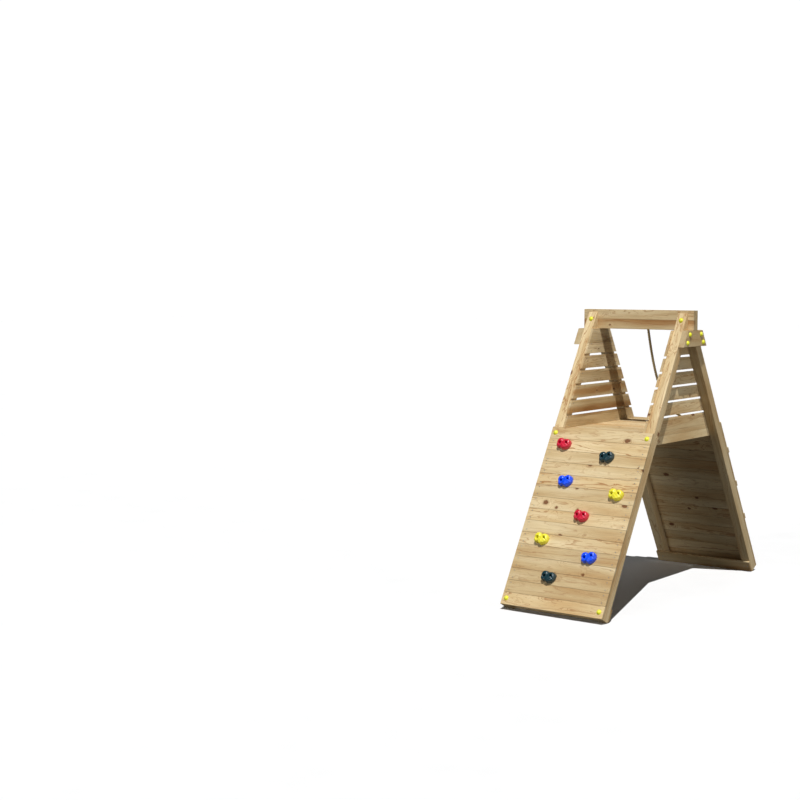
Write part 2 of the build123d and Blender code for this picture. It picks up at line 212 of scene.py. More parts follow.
def spun_fibre(name):
    """Brown spun rope fibre: fine yarns wound against the lay with painted shade between them, a painted lighter
    crown on each strand and painted shade where the strands lie together, dull and slightly hairy.
    """
    material, tree, surface = new_material(name)
    yarns, yarn_run = 7.0, 0.025    # yarns round a strand; metres along it for one turn of a yarn
    uv = add(tree, "ShaderNodeUVMap", uv_map="surface")[0]
    place = add(tree, "ShaderNodeSeparateXYZ", {0: uv})
    wound = add(tree, "ShaderNodeMath", {0: place[0], 1: rope_step / yarn_run}, operation="MULTIPLY")[0]
    phase = add(tree, "ShaderNodeMath", {0: wound, 1: place[1]}, operation="ADD")[0]
    turns = add(tree, "ShaderNodeMath", {0: phase, 1: 2 * pi * yarns}, operation="MULTIPLY")[0]
    wave = add(tree, "ShaderNodeMath", {0: turns}, operation="SINE")[0]
    ridge = add(tree, "ShaderNodeMapRange", {0: wave, 1: -1.0, 2: 1.0})[0]
    objects = add(tree, "ShaderNodeTexCoord")["Object"]
    fuzz = add(tree, "ShaderNodeTexNoise", {"Vector": objects, "Scale": 700.0, "Detail": 3.0})[0]
    patch = add(tree, "ShaderNodeTexNoise", {"Vector": objects, "Scale": 30.0, "Detail": 2.0})[0]
    # The yarn ridges also set the colour: painted shade darkens the troughs between the yarns.
    blend = add(tree, "ShaderNodeMath", {0: ridge, 1: fuzz}, operation="MULTIPLY")[0]
    lift = add(tree, "ShaderNodeMath", {0: patch, 1: 0.35}, operation="MULTIPLY")[0]
    tone = add(tree, "ShaderNodeMath", {0: blend, 1: lift}, operation="ADD")[0]
    # Painted light and shade: each strand is lighter on its outward crown and darker on its sides facing the
    # rope's middle, where the strands meet.
    round_strand = add(tree, "ShaderNodeMath", {0: place[1], 1: 2 * pi}, operation="MULTIPLY")[0]
    crown_light_and_groove_shade = add(tree, "ShaderNodeMath", {0: round_strand}, operation="COSINE")[0]
    crown_light_and_groove_shade = add(tree, "ShaderNodeMapRange", {
        0: crown_light_and_groove_shade, 1: -0.2, 2: 0.9, 3: 0.12, 4: 1.25,
    }, interpolation_type="SMOOTHSTEP")[0]
    tone = add(tree, "ShaderNodeMath", {0: tone, 1: crown_light_and_groove_shade}, operation="MULTIPLY")[0]
    colour = add(tree, "ShaderNodeValToRGB", {0: tone}, (
        (0.06, "#2E2414"), (0.32, "#8C764D"), (0.75, "#D6C28E"),
    ))[0]
    height = add(tree, "ShaderNodeMath", {0: ridge, 1: blend}, operation="ADD")[0]
    bump = add(tree, "ShaderNodeBump", {"Height": height, "Strength": 0.6, "Distance": 0.0008})[0]
    shader = add(tree, "ShaderNodeBsdfPrincipled", {
        "Base Color": colour, "Roughness": 0.85, "Normal": bump, "Sheen Weight": 0.15,
    })[0]
    tree.links.new(shader, surface)
    return material


def laid_strands(line, at, toward):
    """Three strands wound round a line: centre = line + circle (cos a * side + sin a * up), a = turn + 120 k."""
    ahead = unit(np.gradient(line, axis=0))
    side = unit(toward - (toward * ahead).sum(-1, keepdims=True) * ahead)
    up = np.cross(ahead, side)
    strands = []
    for start in (0, 2 * pi / 3, 4 * pi / 3):
        turn = (2 * pi * at / rope_lay + start)[:, None]
        outward = np.cos(turn) * side + np.sin(turn) * up
        strands.append(tube(line + strand_circle * outward, outward, strand_radius, strand_sides))
    return strands


def end_caps(strands):
    """Corner numbers of the flat ends of strands that follow each other in one mesh."""
    caps, first = [], 0
    for vertices, _, _ in strands:
        caps.append(range(first + strand_sides - 1, first - 1, -1))
        first += len(vertices)
        caps.append(range(first - strand_sides, first))
    return caps


def stopper_knot(centre, axis, radius):
    """Turk's head of one strand woven round the rope: three leads, four bights, over one and under one.

    longitude = 3 t, latitude = 0.95 sin 4 t and distance from the centre = mean + lift sin 8 t, t from 0 to 2 pi.
    """
    strand = 0.19 * radius
    lift = 1.1 * strand
    t = np.linspace(0, 2 * pi, 260, endpoint=False)[:, None]
    z_axis = unit(np.array(axis))
    x_axis = unit(np.cross(z_axis, (0.0, 0.0, 1.0) if abs(z_axis[2]) < 0.9 else (0.0, 1.0, 0.0)))
    y_axis = np.cross(z_axis, x_axis)
    latitude = 0.95 * np.sin(4 * t)
    outward = np.cos(latitude) * (np.cos(3 * t) * x_axis + np.sin(3 * t) * y_axis) + np.sin(latitude) * z_axis
    distance = radius - strand - lift + lift * np.sin(8 * t)
    return tube(np.array(centre) + distance * outward, outward, strand, strand_sides, closed=True)


rope_fibre = spun_fibre("spun brown rope fibre")
rope_line, rope_at = evened(spline_line(rope_route, 24), rope_step)
rope_side = np.array([1.0, 0.0, 0.0])
strands = laid_strands(rope_line, rope_at, rope_side)
rope = make_piece("laid_rope", strands, rope_fibre, end_caps(strands))
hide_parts("climbing_rope")

end_direction = unit(rope_route[-1] - rope_route[-2])
tail_ends = np.array([rope_route[-1], rope_route[-1] + tail_length * end_direction])
tail_line, tail_at = evened(tail_ends, rope_step)
tail = laid_strands(tail_line, tail_at + rope_at[-1], rope_side)
end_knot_middle = rope_route[-1] + end_knot_offset * end_direction
end_knot = make_piece(
    "stopper_knot_end", [*tail, stopper_knot(end_knot_middle, end_direction, end_knot_radius)],
    rope_fibre, end_caps(tail),
)
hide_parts("rope_end_knot")

top_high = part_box("rope_top_knot")[1]
neck_ends = np.array([rope_exit, (rope_exit[0], 0.0, top_high[2] - neck_depth)])
neck_line, neck_at = evened(neck_ends, rope_step)
neck = laid_strands(neck_line, neck_at, rope_side)
top_knot_middle = (rope_exit[0], 0.0, top_high[2] - top_knot_depth)
top_knot = make_piece(
    "stopper_knot_in_beam", [*neck, stopper_knot(top_knot_middle, (0, 0, 1), top_knot_radius)],
    rope_fibre, end_caps(neck),
)
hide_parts("rope_top_knot")

# ---- Floor, background and light ----------------------------------------------------------------
# A white studio floor under a high sun from the front right, with soft fills from the front, the right and
# the back, and a white surround that the lens sees but that gives little light.
floor_half = 60.0
floor_mesh = bpy.data.meshes.new("studio_floor")
floor_corners = [(x * floor_half, y * floor_half, -0.0005) for x, y in ((-1, -1), (1, -1), (1, 1), (-1, 1))]
floor_mesh.from_pydata(floor_corners, [], [(0, 1, 2, 3)])
floor = bpy.data.objects.new("studio_floor", floor_mesh)
bpy.context.scene.collection.objects.link(floor)
floor_paint, floor_tree, floor_surface = new_material("matt white floor paint")
floor_grain = add(floor_tree, "ShaderNodeTexNoise", {
    "Vector": add(floor_tree, "ShaderNodeTexCoord")["Object"], "Scale": 3.0, "Detail": 4.0,
})[0]
floor_white = add(floor_tree, "ShaderNodeValToRGB", {0: floor_grain}, ((0.3, "#F7F7F7"), (0.7, "#FAFAFA")))[0]
floor_seen = add(floor_tree, "ShaderNodeBsdfDiffuse", {"Color": floor_white})[0]
floor_bounce = add(floor_tree, "ShaderNodeBsdfDiffuse", {"Color": linear("#6A6A6A")})[0]
floor_straight = add(floor_tree, "ShaderNodeLightPath")["Is Camera Ray"]
floor_tree.links.new(
    add(floor_tree, "ShaderNodeMixShader", {0: floor_straight, 1: floor_bounce, 2: floor_seen})[0], floor_surface
)
floor_mesh.materials.append(floor_paint)

lights = (                     # name, direction of travel, strength, spread in degrees
    ("sun", (-0.32, 0.45, -1.0), 3.5, 0.25),
    ("front_fill", (0.10, 1.0, -0.06), 1.1, 25.0),
    ("right_fill", (-1.0, 0.12, -0.03), 1.2, 25.0),
    ("back_fill", (0.25, -1.0, -0.03), 0.6, 25.0),
)
for name, direction, strength, spread in lights:
    lamp_data = bpy.data.lights.new(name, "SUN")
    lamp_data.energy = strength
    lamp_data.angle = radians(spread)
    lamp = bpy.data.objects.new(name, lamp_data)
    lamp.rotation_euler = Vector(direction).to_track_quat("-Z", "Y").to_euler()
    bpy.context.scene.collection.objects.link(lamp)

world = bpy.data.worlds.new("studio")
bpy.context.scene.world = world
world.use_nodes = True
sky = world.node_tree
sky.nodes.clear()
seen = add(sky, "ShaderNodeBackground", {"Color": (1.0, 1.0, 1.0, 1.0), "Strength": 1.05})[0]
lighting = add(sky, "ShaderNodeBackground", {"Color": linear("#F2F6FA"), "Strength": 0.04})[0]
straight = add(sky, "ShaderNodeLightPath")["Is Camera Ray"]
surround = add(sky, "ShaderNodeMixShader", {0: straight, 1: lighting, 2: seen})[0]
sky.links.new(surround, sky.nodes.new("ShaderNodeOutputWorld").inputs["Surface"])
bpy.context.scene.view_settings.view_transform = "Standard"

# ---- Timber -------------------------------------------------------------------------------------
# Every timber is planed, pressure-treated pine. The figure is cut from a log for each board: growth rings
# round a pith, knots that run through the board, warm heartwood near the pith and square sawn end grain.
foot_half_spread = 1.124
beam_bottom = 1.905
beam_depth = 0.060
lamination_height = 0.070
board_pitch = 0.090
slat_pitch = 0.1052
slat_rows_down = 20            # whole pitches from the top of the guards to the start of their log, below ground
batten_pitch = 0.309
deck_board_count = 11
deck_gap = 0.004
leg_middle = 0.365             # across the frame, from its middle
guard_middle = 0.322
bearer_middle = 0.29
bearer_drop = 0.02             # of the bearers' middle, under the deck boards
gusset_middle = (0.42, 0.0, 1.85)
foot_board_height = 0.05
lean = atan2(foot_half_spread - beam_depth / 2, beam_bottom)
up_front = (0.0, sin(lean), cos(lean))
up_rear = (0.0, -sin(lean), cos(lean))
out_front = (0.0, -cos(lean), sin(lean))
out_rear = (0.0, cos(lean), sin(lean))
x_dir, y_dir, z_dir = (1.0, 0.0, 0.0), (0.0, 1.0, 0.0), (0.0, 0.0, 1.0)


def planed_pine(name, origin, along, across, deep, seed, pitch=0.0, mirror=None, paler=1.0):
    """Planed pine whose grain runs along a direction from an origin, one log for each board.

    Boards follow each other by the pitch in the across direction, or lie both sides of the mirror axis. Paler
    is what the colour is multiplied by.
    """
    material, tree, surface = new_material(name)
    coordinate = add(tree, "ShaderNodeTexCoord")
    place = coordinate["Object"]
    side = 0.0
    if mirror is not None:
        parts = add(tree, "ShaderNodeSeparateXYZ", {0: place})
        side = add(tree, "ShaderNodeMath", {0: parts[mirror], 1: 0.0}, operation="GREATER_THAN")[0]
        folded = add(tree, "ShaderNodeMath", {0: parts[mirror]}, operation="ABSOLUTE")[0]
        sockets = {0: parts[0], 1: parts[1], 2: parts[2]}
        sockets[mirror] = folded
        place = add(tree, "ShaderNodeCombineXYZ", sockets)[0]
    place = add(tree, "ShaderNodeVectorMath", {0: place, 1: origin}, operation="SUBTRACT")[0]
    u, b, w = [
        add(tree, "ShaderNodeVectorMath", {0: place, 1: direction}, operation="DOT_PRODUCT")["Value"]
        for direction in (along, across, deep)
    ]
    if pitch:
        share = add(tree, "ShaderNodeMath", {0: b, 1: pitch}, operation="DIVIDE")[0]
        row = add(tree, "ShaderNodeMath", {0: share}, operation="FLOOR")[0]
        within = add(tree, "ShaderNodeMath", {0: share}, operation="FRACT")[0]
        v = add(tree, "ShaderNodeMath", {0: within, 1: 0.5}, operation="SUBTRACT")[0]
        v = add(tree, "ShaderNodeMath", {0: v, 1: pitch}, operation="MULTIPLY")[0]
    else:
        row, v = side, b

    # The board's own log: how far along it was cut, and where its pith lies behind the face.
    cell = add(tree, "ShaderNodeCombineXYZ", {0: row, 1: side, 2: seed})[0]
    log = add(tree, "ShaderNodeTexWhiteNoise", {"Vector": cell}, noise_dimensions="3D")
    tone = log["Value"]
    log = add(tree, "ShaderNodeSeparateXYZ", {0: log["Color"]})
    u_log = add(tree, "ShaderNodeMath", {0: log[0], 1: 9.0, 2: u}, operation="MULTIPLY_ADD")[0]
    v_off = add(tree, "ShaderNodeMath", {0: log[1], 1: 0.16, 2: -0.08}, operation="MULTIPLY_ADD")[0]
    v_log = add(tree, "ShaderNodeMath", {0: v, 1: v_off}, operation="ADD")[0]
    w_off = add(tree, "ShaderNodeMath", {0: log[2], 1: 0.11, 2: 0.012}, operation="MULTIPLY_ADD")[0]
    w_log = add(tree, "ShaderNodeMath", {0: w, 1: w_off}, operation="ADD")[0]
    shift = add(tree, "ShaderNodeVectorMath", {0: log[0], 1: (7.0, 3.0, 5.0)}, operation="MULTIPLY")[0]

    # Knots: balls scattered through the log and drawn out along the grain. Some cross the board's face.
    knot_place = add(tree, "ShaderNodeCombineXYZ", {0: u_log, 1: v_log, 2: w_log})[0]
    knot_place = add(tree, "ShaderNodeVectorMath", {0: knot_place, 1: (0.72, 1.0, 0.4)}, operation="MULTIPLY")[0]
    knot_place = add(tree, "ShaderNodeVectorMath", {0: knot_place, 1: shift}, operation="ADD")[0]
    knot_wobble = add(tree, "ShaderNodeTexNoise", {"Vector": knot_place, "Scale": 45.0, "Detail": 2.0})["Color"]
    knot_wobble = add(tree, "ShaderNodeVectorMath", {0: knot_wobble, 1: (0.5, 0.5, 0.5)}, operation="SUBTRACT")[0]
    knot_wobble = add(tree, "ShaderNodeVectorMath", {0: knot_wobble, "Scale": 0.018}, operation="SCALE")[0]
    knot_place = add(tree, "ShaderNodeVectorMath", {0: knot_place, 1: knot_wobble}, operation="ADD")[0]
    knot_cells = 9.0               # per metre, before they are drawn out
    knots = add(tree, "ShaderNodeTexVoronoi", {"Vector": knot_place, "Scale": knot_cells})
    knot_chance = add(tree, "ShaderNodeSeparateXYZ", {0: knots["Color"]})
    away = add(tree, "ShaderNodeMath", {0: knots["Distance"], 1: knot_cells}, operation="DIVIDE")[0]
    size = add(tree, "ShaderNodeMath", {0: knot_chance[0], 1: 0.011, 2: 0.003}, operation="MULTIPLY_ADD")[0]
    nearness = add(tree, "ShaderNodeMath", {0: away, 1: size}, operation="DIVIDE")[0]
    knot = add(tree, "ShaderNodeMapRange", {0: nearness, 1: 1.1, 2: 0.8}, interpolation_type="SMOOTHSTEP")[0]
    halo = add(tree, "ShaderNodeMapRange", {0: nearness, 1: 2.0, 2: 0.9}, interpolation_type="SMOOTHSTEP")[0]
    rim = add(tree, "ShaderNodeMath", {0: nearness, 1: 1.0, 2: 0.16}, operation="COMPARE")[0]
    bend = add(tree, "ShaderNodeMapRange", {
        0: nearness, 1: 4.5, 2: 0.0, 4: 0.02,
    }, interpolation_type="SMOOTHSTEP")[0]

    # Growth rings: distance from the pith, which wanders and tapers along the log and bends round knots.
    stretched = add(tree, "ShaderNodeCombineXYZ", {0: u_log, 1: v_log, 2: w_log})[0]
    stretched = add(tree, "ShaderNodeVectorMath", {0: stretched, 1: (1.0, 7.0, 7.0)}, operation="MULTIPLY")[0]
    stretched = add(tree, "ShaderNodeVectorMath", {0: stretched, 1: shift}, operation="ADD")[0]
    wander = add(tree, "ShaderNodeTexNoise", {"Vector": stretched, "Scale": 2.2, "Detail": 3.0})[0]
    taper = add(tree, "ShaderNodeMath", {0: u, 1: 0.02, 2: w_log}, operation="MULTIPLY_ADD")[0]
    across_pith = add(tree, "ShaderNodeCombineXYZ", {0: v_log, 1: taper, 2: 0.0})[0]
    radius = add(tree, "ShaderNodeVectorMath", {0: across_pith}, operation="LENGTH")["Value"]
    radius = add(tree, "ShaderNodeMath", {0: wander, 1: 0.055, 2: radius}, operation="MULTIPLY_ADD")[0]
    radius = add(tree, "ShaderNodeMath", {0: radius, 1: bend}, operation="ADD")[0]
    ring_place = add(tree, "ShaderNodeMath", {0: log[1], 1: 40.0, 2: radius}, operation="MULTIPLY_ADD")[0]
    rings = add(tree, "ShaderNodeTexNoise", {
        "W": ring_place, "Scale": 210.0, "Detail": 4.0, "Roughness": 0.7,
    }, noise_dimensions="1D")[0]
    latewood = add(tree, "ShaderNodeMapRange", {0: rings, 1: 0.50, 2: 0.66}, interpolation_type="SMOOTHSTEP")[0]
    heart = add(tree, "ShaderNodeMapRange", {0: radius, 1: 0.075, 2: 0.035}, interpolation_type="SMOOTHSTEP")[0]

    # Fibres: short dashes along the grain.
    fibre_place = add(tree, "ShaderNodeVectorMath", {0: stretched, 1: (6.0, 60.0, 60.0)}, operation="MULTIPLY")[0]
    fibres = add(tree, "ShaderNodeTexNoise", {"Vector": fibre_place, "Scale": 1.6, "Detail": 3.0})[0]
    patches = add(tree, "ShaderNodeTexNoise", {"Vector": stretched, "Scale": 1.3, "Detail": 2.0})[0]

    pale = add(tree, "ShaderNodeValToRGB", {0: patches}, (
        (0.30, "#DAC69D"), (0.50, "#CAB184"), (0.70, "#BA9766"),
    ))[0]
    heartwood = add(tree, "ShaderNodeValToRGB", {0: patches}, ((0.30, "#BC9460"), (0.70, "#9C7040")))[0]
    colour = add(tree, "ShaderNodeMix", {0: heart, 6: pale, 7: heartwood}, data_type="RGBA")[2]
    figured = add(tree, "ShaderNodeMath", {0: log[0], 1: 3.0}, operation="POWER")[0]
    figured = add(tree, "ShaderNodeMath", {0: figured, 1: 0.45, 2: 0.42}, operation="MULTIPLY_ADD")[0]
    late_share = add(tree, "ShaderNodeMath", {0: latewood, 1: figured}, operation="MULTIPLY")[0]
    colour = add(tree, "ShaderNodeMix", {0: late_share, 6: colour, 7: linear("#976333")}, data_type="RGBA")[2]
    halo_share = add(tree, "ShaderNodeMath", {0: halo, 1: 0.55}, operation="MULTIPLY")[0]
    colour = add(tree, "ShaderNodeMix", {0: halo_share, 6: colour, 7: linear("#94673B")}, data_type="RGBA")[2]
    knot_share = add(tree, "ShaderNodeMath", {0: knot, 1: 0.85}, operation="MULTIPLY")[0]
    colour = add(tree, "ShaderNodeMix", {0: knot_share, 6: colour, 7: linear("#6E4023")}, data_type="RGBA")[2]
    rim_share = add(tree, "ShaderNodeMath", {0: rim, 1: 0.45}, operation="MULTIPLY")[0]
    colour = add(tree, "ShaderNodeMix", {0: rim_share, 6: colour, 7: linear("#42230F")}, data_type="RGBA")[2]

    # Each board's own tone, the fibres, painted shade along the edges of butted boards where they meet at a seam,
    # and the darker end grain.
    shade = add(tree, "ShaderNodeMapRange", {0: tone, 3: 0.87 * paler, 4: 1.10 * paler})[0]
    fibre_shade = add(tree, "ShaderNodeMapRange", {0: fibres, 1: 0.3, 2: 0.7, 3: 0.86, 4: 1.11})[0]
    shade = add(tree, "ShaderNodeMath", {0: shade, 1: fibre_shade}, operation="MULTIPLY")[0]
    # Painted shade: each board darkens within 4 mm of its edges, where shade falls into the seam between boards.
    if pitch:
        off_middle = add(tree, "ShaderNodeMath", {0: v}, operation="ABSOLUTE")[0]
        seam_shade = add(tree, "ShaderNodeMapRange", {
            0: off_middle, 1: pitch / 2 - 0.004, 2: pitch / 2 - 0.001, 3: 1.0, 4: 0.86,
        }, interpolation_type="SMOOTHSTEP")[0]
        shade = add(tree, "ShaderNodeMath", {0: shade, 1: seam_shade}, operation="MULTIPLY")[0]
    facing = add(tree, "ShaderNodeVectorMath", {
        0: coordinate["Normal"], 1: along,
    }, operation="DOT_PRODUCT")["Value"]
    facing = add(tree, "ShaderNodeMath", {0: facing}, operation="ABSOLUTE")[0]
    end_grain = add(tree, "ShaderNodeMapRange", {0: facing, 1: 0.6, 2: 0.95, 3: 1.0, 4: 0.80})[0]
    shade = add(tree, "ShaderNodeMath", {0: shade, 1: end_grain}, operation="MULTIPLY")[0]
    colour = add(tree, "ShaderNodeVectorMath", {0: colour, "Scale": shade}, operation="SCALE")[0]

    relief = add(tree, "ShaderNodeMath", {0: latewood, 1: fibres}, operation="ADD")[0]
    bump = add(tree, "ShaderNodeBump", {"Height": relief, "Strength": 0.35, "Distance": 0.0006})[0]
    roughness = add(tree, "ShaderNodeMapRange", {0: rings, 3: 0.72, 4: 0.50})[0]
    shader = add(tree, "ShaderNodeBsdfPrincipled", {
        "Base Color": colour, "Roughness": roughness, "Normal": bump, "Specular IOR Level": 0.3,
    })[0]
    tree.links.new(shader, surface)
    return material


def finish_nodes(names, material):
    """Gives carried-over nodes one material in every slot."""
    for node_name in names:
        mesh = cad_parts[node_name].data
        mesh.materials.clear()
        mesh.materials.append(material)


def foot(side):
    """Where the inner faces of the legs of one side meet the ground."""
    return (0.0, side * foot_half_spread, 0.0)


finish_nodes(("beam_lamination_lower", "beam_lamination_upper"), planed_pine(
    "planed pine, beam laminations", (0.0, 0.0, beam_bottom), x_dir, z_dir, y_dir, 1.0, pitch=lamination_height,
    paler=0.96,
))
finish_nodes(("leg_front_left", "leg_front_right"), planed_pine(
    "planed pine, front legs", (leg_middle, -foot_half_spread, 0.0), up_front, x_dir, out_front, 2.0, mirror=0,
))
finish_nodes(("leg_rear_left", "leg_rear_right"), planed_pine(
    "planed pine, rear legs", (leg_middle, foot_half_spread, 0.0), up_rear, x_dir, out_rear, 3.0, mirror=0,
))
finish_nodes(("gusset_left", "gusset_right"), planed_pine(
    "planed pine, gussets", gusset_middle, y_dir, z_dir, x_dir, 4.0, mirror=0,
))
finish_nodes([f"wall_board_{n:02d}" for n in range(1, 16)], planed_pine(
    "planed pine, wall boards", foot(-1), x_dir, up_front, out_front, 5.0, pitch=board_pitch,
))
finish_nodes(("ramp_boards",), planed_pine(
    "planed pine, ramp boards", foot(1), x_dir, up_rear, out_rear, 6.0, pitch=board_pitch,
))
finish_nodes(("ramp_battens",), planed_pine(
    "planed pine, ramp battens", foot(1), x_dir, up_rear, out_rear, 7.0, pitch=batten_pitch,
))
finish_nodes(("foot_boards",), planed_pine(
    "planed pine, foot boards", (0.0, foot_half_spread, foot_board_height), x_dir, up_rear, out_rear, 8.0,
    mirror=1,
))
deck_low, deck_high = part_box("deck_boards")
deck_pitch = (deck_high[1] - deck_low[1] + deck_gap) / deck_board_count
finish_nodes(("deck_boards",), planed_pine(
    "planed pine, deck boards", (0.0, deck_low[1] - deck_gap / 2, deck_low[2]), x_dir, y_dir, z_dir, 9.0,
    pitch=deck_pitch, paler=1.14,
))
finish_nodes(("deck_bearers",), planed_pine(
    "planed pine, deck bearers", (bearer_middle, 0.0, deck_low[2] - bearer_drop), y_dir, z_dir, x_dir, 10.0,
    mirror=0,
))
slat_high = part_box("guard_slats_right")[1]
finish_nodes(("guard_slats_left", "guard_slats_right"), planed_pine(
    "planed pine, guard slats", (guard_middle, 0.0, slat_high[2] - slat_rows_down * slat_pitch),
    y_dir, z_dir, x_dir, 11.0, pitch=slat_pitch, mirror=0, paler=1.06,
))

# ---- Climbing holds -----------------------------------------------------------------------------
# Grips moulded in coloured polyester with fine grit: a steep-sided heart whose flat face swells over each of
# its round lobes, with two sunk bolt holes. Each is turned a little on the wall and held by two machine screws.
hold_base = 0.005
hold_face = 0.035
hold_shoulder = 0.013
hold_side_power = 2.4          # of the superellipse that rounds the side into the face
hold_middle_groove = (0.0045, 0.006)    # depth and half width
hold_side_groove = (0.0030, 0.0045)
hold_groove_end = (0.026, -0.008)       # where a side groove is centred, across and up
hold_facet = 0.0010
hold_dish = (0.0020, 0.011)    # depth and half width, round each bolt
hold_lobes = np.array([        # centre across and up the wall, radius, swelling
    (-0.0225, 0.0090, 0.0300, 0.0055),
    (0.0260, 0.0020, 0.0275, 0.0045),
    (0.0040, -0.0210, 0.0260, 0.0035),
    (-0.0345, -0.0150, 0.0185, 0.0020),
    (0.0230, -0.0140, 0.0260, 0.0005),
])
hold_bolts = ((-0.025, 0.0), (0.025, 0.0))
hold_bolt_radius = 0.0095
hold_bolt_floor = 0.0140
wall_face = 0.086              # from the legs' inner faces out to the wall's face
hold_places = (                # colour, which of the two, X, distance up the wall and tilt in degrees
    ("red", "upper", -0.262, 1.221, 4.0),
    ("teal", "upper", 0.103, 1.146, 18.0),
    ("blue", "upper", -0.165, 0.943, 18.0),
    ("yellow", "upper", 0.256, 0.876, 4.0),
    ("red", "lower", 0.038, 0.697, 4.0),
    ("yellow", "lower", -0.217, 0.501, 4.0),
    ("blue", "lower", 0.185, 0.407, 20.0),
    ("teal", "lower", -0.077, 0.235, 4.0),
)
hold_colours = {"red": "#CC1C3A", "blue": "#0C50F4", "yellow": "#ECE23C", "teal": "#12343C"}


def moulded_grit(name, colour):
    """Gritty moulded polyester: glossy gel coat over sand, so a fine grain with small bright glints."""
    material, tree, surface = new_material(name)
    objects = add(tree, "ShaderNodeTexCoord")["Object"]
    grit = add(tree, "ShaderNodeTexNoise", {"Vector": objects, "Scale": 900.0, "Detail": 2.0})[0]
    cloud = add(tree, "ShaderNodeTexNoise", {"Vector": objects, "Scale": 40.0, "Detail": 3.0})[0]
    shade = add(tree, "ShaderNodeMapRange", {0: cloud, 1: 0.3, 2: 0.7, 3: 0.88, 4: 1.06})[0]
    speck = add(tree, "ShaderNodeMapRange", {0: grit, 1: 0.3, 2: 0.7, 3: 0.92, 4: 1.06})[0]
    shade = add(tree, "ShaderNodeMath", {0: shade, 1: speck}, operation="MULTIPLY")[0]
    tint = add(tree, "ShaderNodeRGB")[0]
    tint.default_value = linear(colour)
    tinted = add(tree, "ShaderNodeVectorMath", {0: tint, "Scale": shade}, operation="SCALE")[0]
    rough = add(tree, "ShaderNodeMapRange", {0: cloud, 1: 0.3, 2: 0.7, 3: 0.28, 4: 0.42})[0]
    bump = add(tree, "ShaderNodeBump", {"Height": grit, "Strength": 0.25, "Distance": 0.0005})[0]
    shader = add(tree, "ShaderNodeBsdfPrincipled", {
        "Base Color": tinted, "Roughness": rough, "Normal": bump, "Specular IOR Level": 0.5,
        "Coat Weight": 0.25, "Coat Roughness": 0.2,
    })[0]
    tree.links.new(shader, surface)
    return material


def smooth_step(low, high, value):
    """0 below low, 1 above high and a smooth rise between them."""
    share = np.clip((value - low) / (high - low), 0.0, 1.0)
    return share * share * (3 - 2 * share)


def hold_grid(columns, rows):
    """Grip as a grid of directions and shares of the outline, its base at height 0.

    The outline is the smooth greatest of the distances at which a ray leaves each lobe's circle. The side is
    a quarter of a superellipse as wide as the shoulder. The face swells over each lobe and has a groove
    between the upper lobes, another down to each side lobe, faint moulded facets and dished bolt holes.
    """
    angle = np.linspace(0, 2 * pi, columns, endpoint=False)
    ray = np.stack([np.cos(angle), np.sin(angle)], axis=-1)
    centre, radius, swelling = hold_lobes[:, :2], hold_lobes[:, 2], hold_lobes[:, 3]
    ahead = ray @ centre.T
    room = radius**2 - (centre**2).sum(-1) + ahead**2
    leave = np.where(room > 0, ahead + np.sqrt(np.maximum(room, 0.0)), 0.0)
    outline = (np.maximum(leave, 0.0) ** 12).sum(-1) ** (1 / 12) + 0.0006 * np.sin(11 * angle)
    share = 1 - (1 - np.linspace(0, 1, rows)[1:, None]) ** 1.8
    x, y = (ray[None] * (outline * share)[..., None]).transpose(2, 0, 1)
    off_centre = np.hypot(x[..., None] - centre[:, 0], y[..., None] - centre[:, 1]) / (0.62 * radius)
    z = hold_face + (swelling * np.exp(-(off_centre**2))).sum(-1)
    z -= hold_middle_groove[0] * np.exp(-((x / hold_middle_groove[1]) ** 2)) * smooth_step(-0.002, 0.018, y)
    for side in (-1, 1):
        from_x, from_y = side * x - hold_groove_end[0], y - hold_groove_end[1]
        square, outward = 0.6 * from_x + 0.8 * from_y, 0.8 * from_x - 0.6 * from_y
        groove = np.exp(-((square / hold_side_groove[1]) ** 2)) * smooth_step(-0.004, 0.010, outward)
        z -= hold_side_groove[0] * groove
    z += hold_facet * np.sin(210 * x + 1.3) * np.sin(240 * y + 0.4)
    edge = np.clip((1 - share) * outline / hold_shoulder, 0.0, 1.0)
    z = hold_base + (z - hold_base) * (1 - (1 - edge) ** hold_side_power) ** (1 / hold_side_power)
    for bolt_x, bolt_y in hold_bolts:
        off = np.hypot(x - bolt_x, y - bolt_y)
        z -= hold_dish[0] * np.exp(-((off / hold_dish[1]) ** 2))
        inside = 1 - smooth_step(hold_bolt_radius - 0.0006, hold_bolt_radius + 0.0012, off)
        z = z + inside * (hold_bolt_floor - z)
    rim = np.stack([x[-1], y[-1], np.zeros(columns)], axis=-1)
    pole = np.array([(0.0, 0.0, z[0].mean())])
    vertices = np.concatenate([np.stack([x, y, z], axis=-1).reshape(-1, 3), rim, pole])
    corners = grid_quads(rows, columns)
    faces = (corners[..., 0] * columns + corners[..., 1] % columns).reshape(-1, 4)
    uvs = corners.reshape(-1, 4, 2) / (rows, columns)
    fan = [(len(vertices) - 1, (n + 1) % columns, n)[::-1] for n in range(columns)]
    return vertices, faces, uvs, [*fan, range((rows - 1) * columns, rows * columns)]


hold_vertices, hold_faces, hold_uvs, hold_caps = hold_grid(168, 56)
hold_materials = {
    colour: moulded_grit(f"moulded {colour} polyester grit", value) for colour, value in hold_colours.items()
}
for colour, level, x, s, tilt in hold_places:
    turn = radians(tilt)
    right = cos(turn) * np.array(x_dir) + sin(turn) * np.array(up_front)
    up = -sin(turn) * np.array(x_dir) + cos(turn) * np.array(up_front)
    middle = np.array(foot(-1)) + x * np.array(x_dir) + s * np.array(up_front) + wall_face * np.array(out_front)
    placed = middle + hold_vertices @ np.stack([right, up, np.array(out_front)])
    grip = make_piece(
        f"grip_{colour}_{level}", [(placed, hold_faces, hold_uvs)], hold_materials[colour],
        hold_caps,
    )
    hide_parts(f"hold_{colour}_{level}")

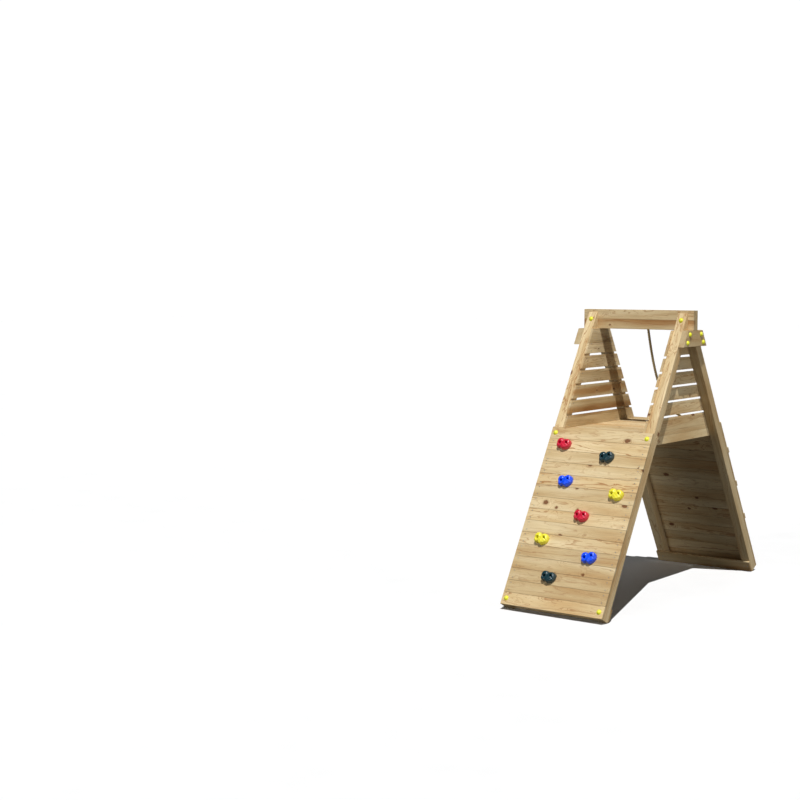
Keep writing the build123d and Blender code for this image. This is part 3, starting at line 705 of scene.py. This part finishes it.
# ---- Snap caps ----------------------------------------------------------------------------------
# Domed polyethylene caps pressed over the bolt heads: lemon yellow, glossy, a little milky.
cap_plastic, cap_tree, cap_surface = new_material("moulded yellow polyethylene")
cap_objects = add(cap_tree, "ShaderNodeTexCoord")["Object"]
cap_cloud = add(cap_tree, "ShaderNodeTexNoise", {"Vector": cap_objects, "Scale": 120.0, "Detail": 3.0})[0]
cap_shader = add(cap_tree, "ShaderNodeBsdfPrincipled", {
    "Base Color": add(cap_tree, "ShaderNodeValToRGB", {0: cap_cloud}, ((0.3, "#DDDD2A"), (0.7, "#EDEC45")))[0],
    "Roughness": add(cap_tree, "ShaderNodeMapRange", {0: cap_cloud, 3: 0.22, 4: 0.36})[0],
    "Normal": add(cap_tree, "ShaderNodeBump", {"Height": cap_cloud, "Strength": 0.1, "Distance": 0.0004})[0],
    "Specular IOR Level": 0.5,
})[0]
cap_tree.links.new(cap_shader, cap_surface)
finish_nodes(("bolt_caps",), cap_plastic)

# ---- Fasteners ----------------------------------------------------------------------------------
# Bright zinc-plated steel: bolts, coach screws and wood screws, turned and rolled, so the
# plating shows a faint mottle and fine turning lines.
zinc, zinc_tree, zinc_surface = new_material("bright zinc-plated steel")
zinc_objects = add(zinc_tree, "ShaderNodeTexCoord")["Object"]
spangle = add(zinc_tree, "ShaderNodeTexVoronoi", {"Vector": zinc_objects, "Scale": 450.0})["Distance"]
mottle = add(zinc_tree, "ShaderNodeTexNoise", {"Vector": zinc_objects, "Scale": 300.0, "Detail": 3.0})[0]
zinc_shader = add(zinc_tree, "ShaderNodeBsdfPrincipled", {
    "Base Color": add(zinc_tree, "ShaderNodeValToRGB", {0: mottle}, ((0.3, "#9EA2A3"), (0.7, "#BFC3C4")))[0],
    "Metallic": 1.0,
    "Roughness": add(zinc_tree, "ShaderNodeMapRange", {0: spangle, 3: 0.28, 4: 0.45})[0],
    "Normal": add(zinc_tree, "ShaderNodeBump", {"Height": mottle, "Strength": 0.1, "Distance": 0.0003})[0],
})[0]
zinc_tree.links.new(zinc_shader, zinc_surface)
finish_nodes(("beam_bolts", "coach_screws", "board_screws"), zinc)

# The machine screws sunk in the grips are made near black, as painted shade that darkens the bolt holes, with
# brown patches.
hole_shade_steel, hole_shade_tree, hole_shade_surface = new_material("near-black steel, painted shade in the grip bolt holes")
hole_shade_objects = add(hole_shade_tree, "ShaderNodeTexCoord")["Object"]
hole_shade_mottle = add(hole_shade_tree, "ShaderNodeTexNoise", {"Vector": hole_shade_objects, "Scale": 350.0, "Detail": 3.0})[0]
hole_shade_shader = add(hole_shade_tree, "ShaderNodeBsdfPrincipled", {
    "Base Color": add(hole_shade_tree, "ShaderNodeValToRGB", {0: hole_shade_mottle}, ((0.4, "#1A1A1B"), (0.8, "#3A3028")))[0],
    "Metallic": 0.8,
    "Roughness": add(hole_shade_tree, "ShaderNodeMapRange", {0: hole_shade_mottle, 3: 0.55, 4: 0.35})[0],
    "Normal": add(hole_shade_tree, "ShaderNodeBump", {"Height": hole_shade_mottle, "Strength": 0.1, "Distance": 0.0003})[0],
})[0]
hole_shade_tree.links.new(hole_shade_shader, hole_shade_surface)
finish_nodes(("hold_screws",), hole_shade_steel)
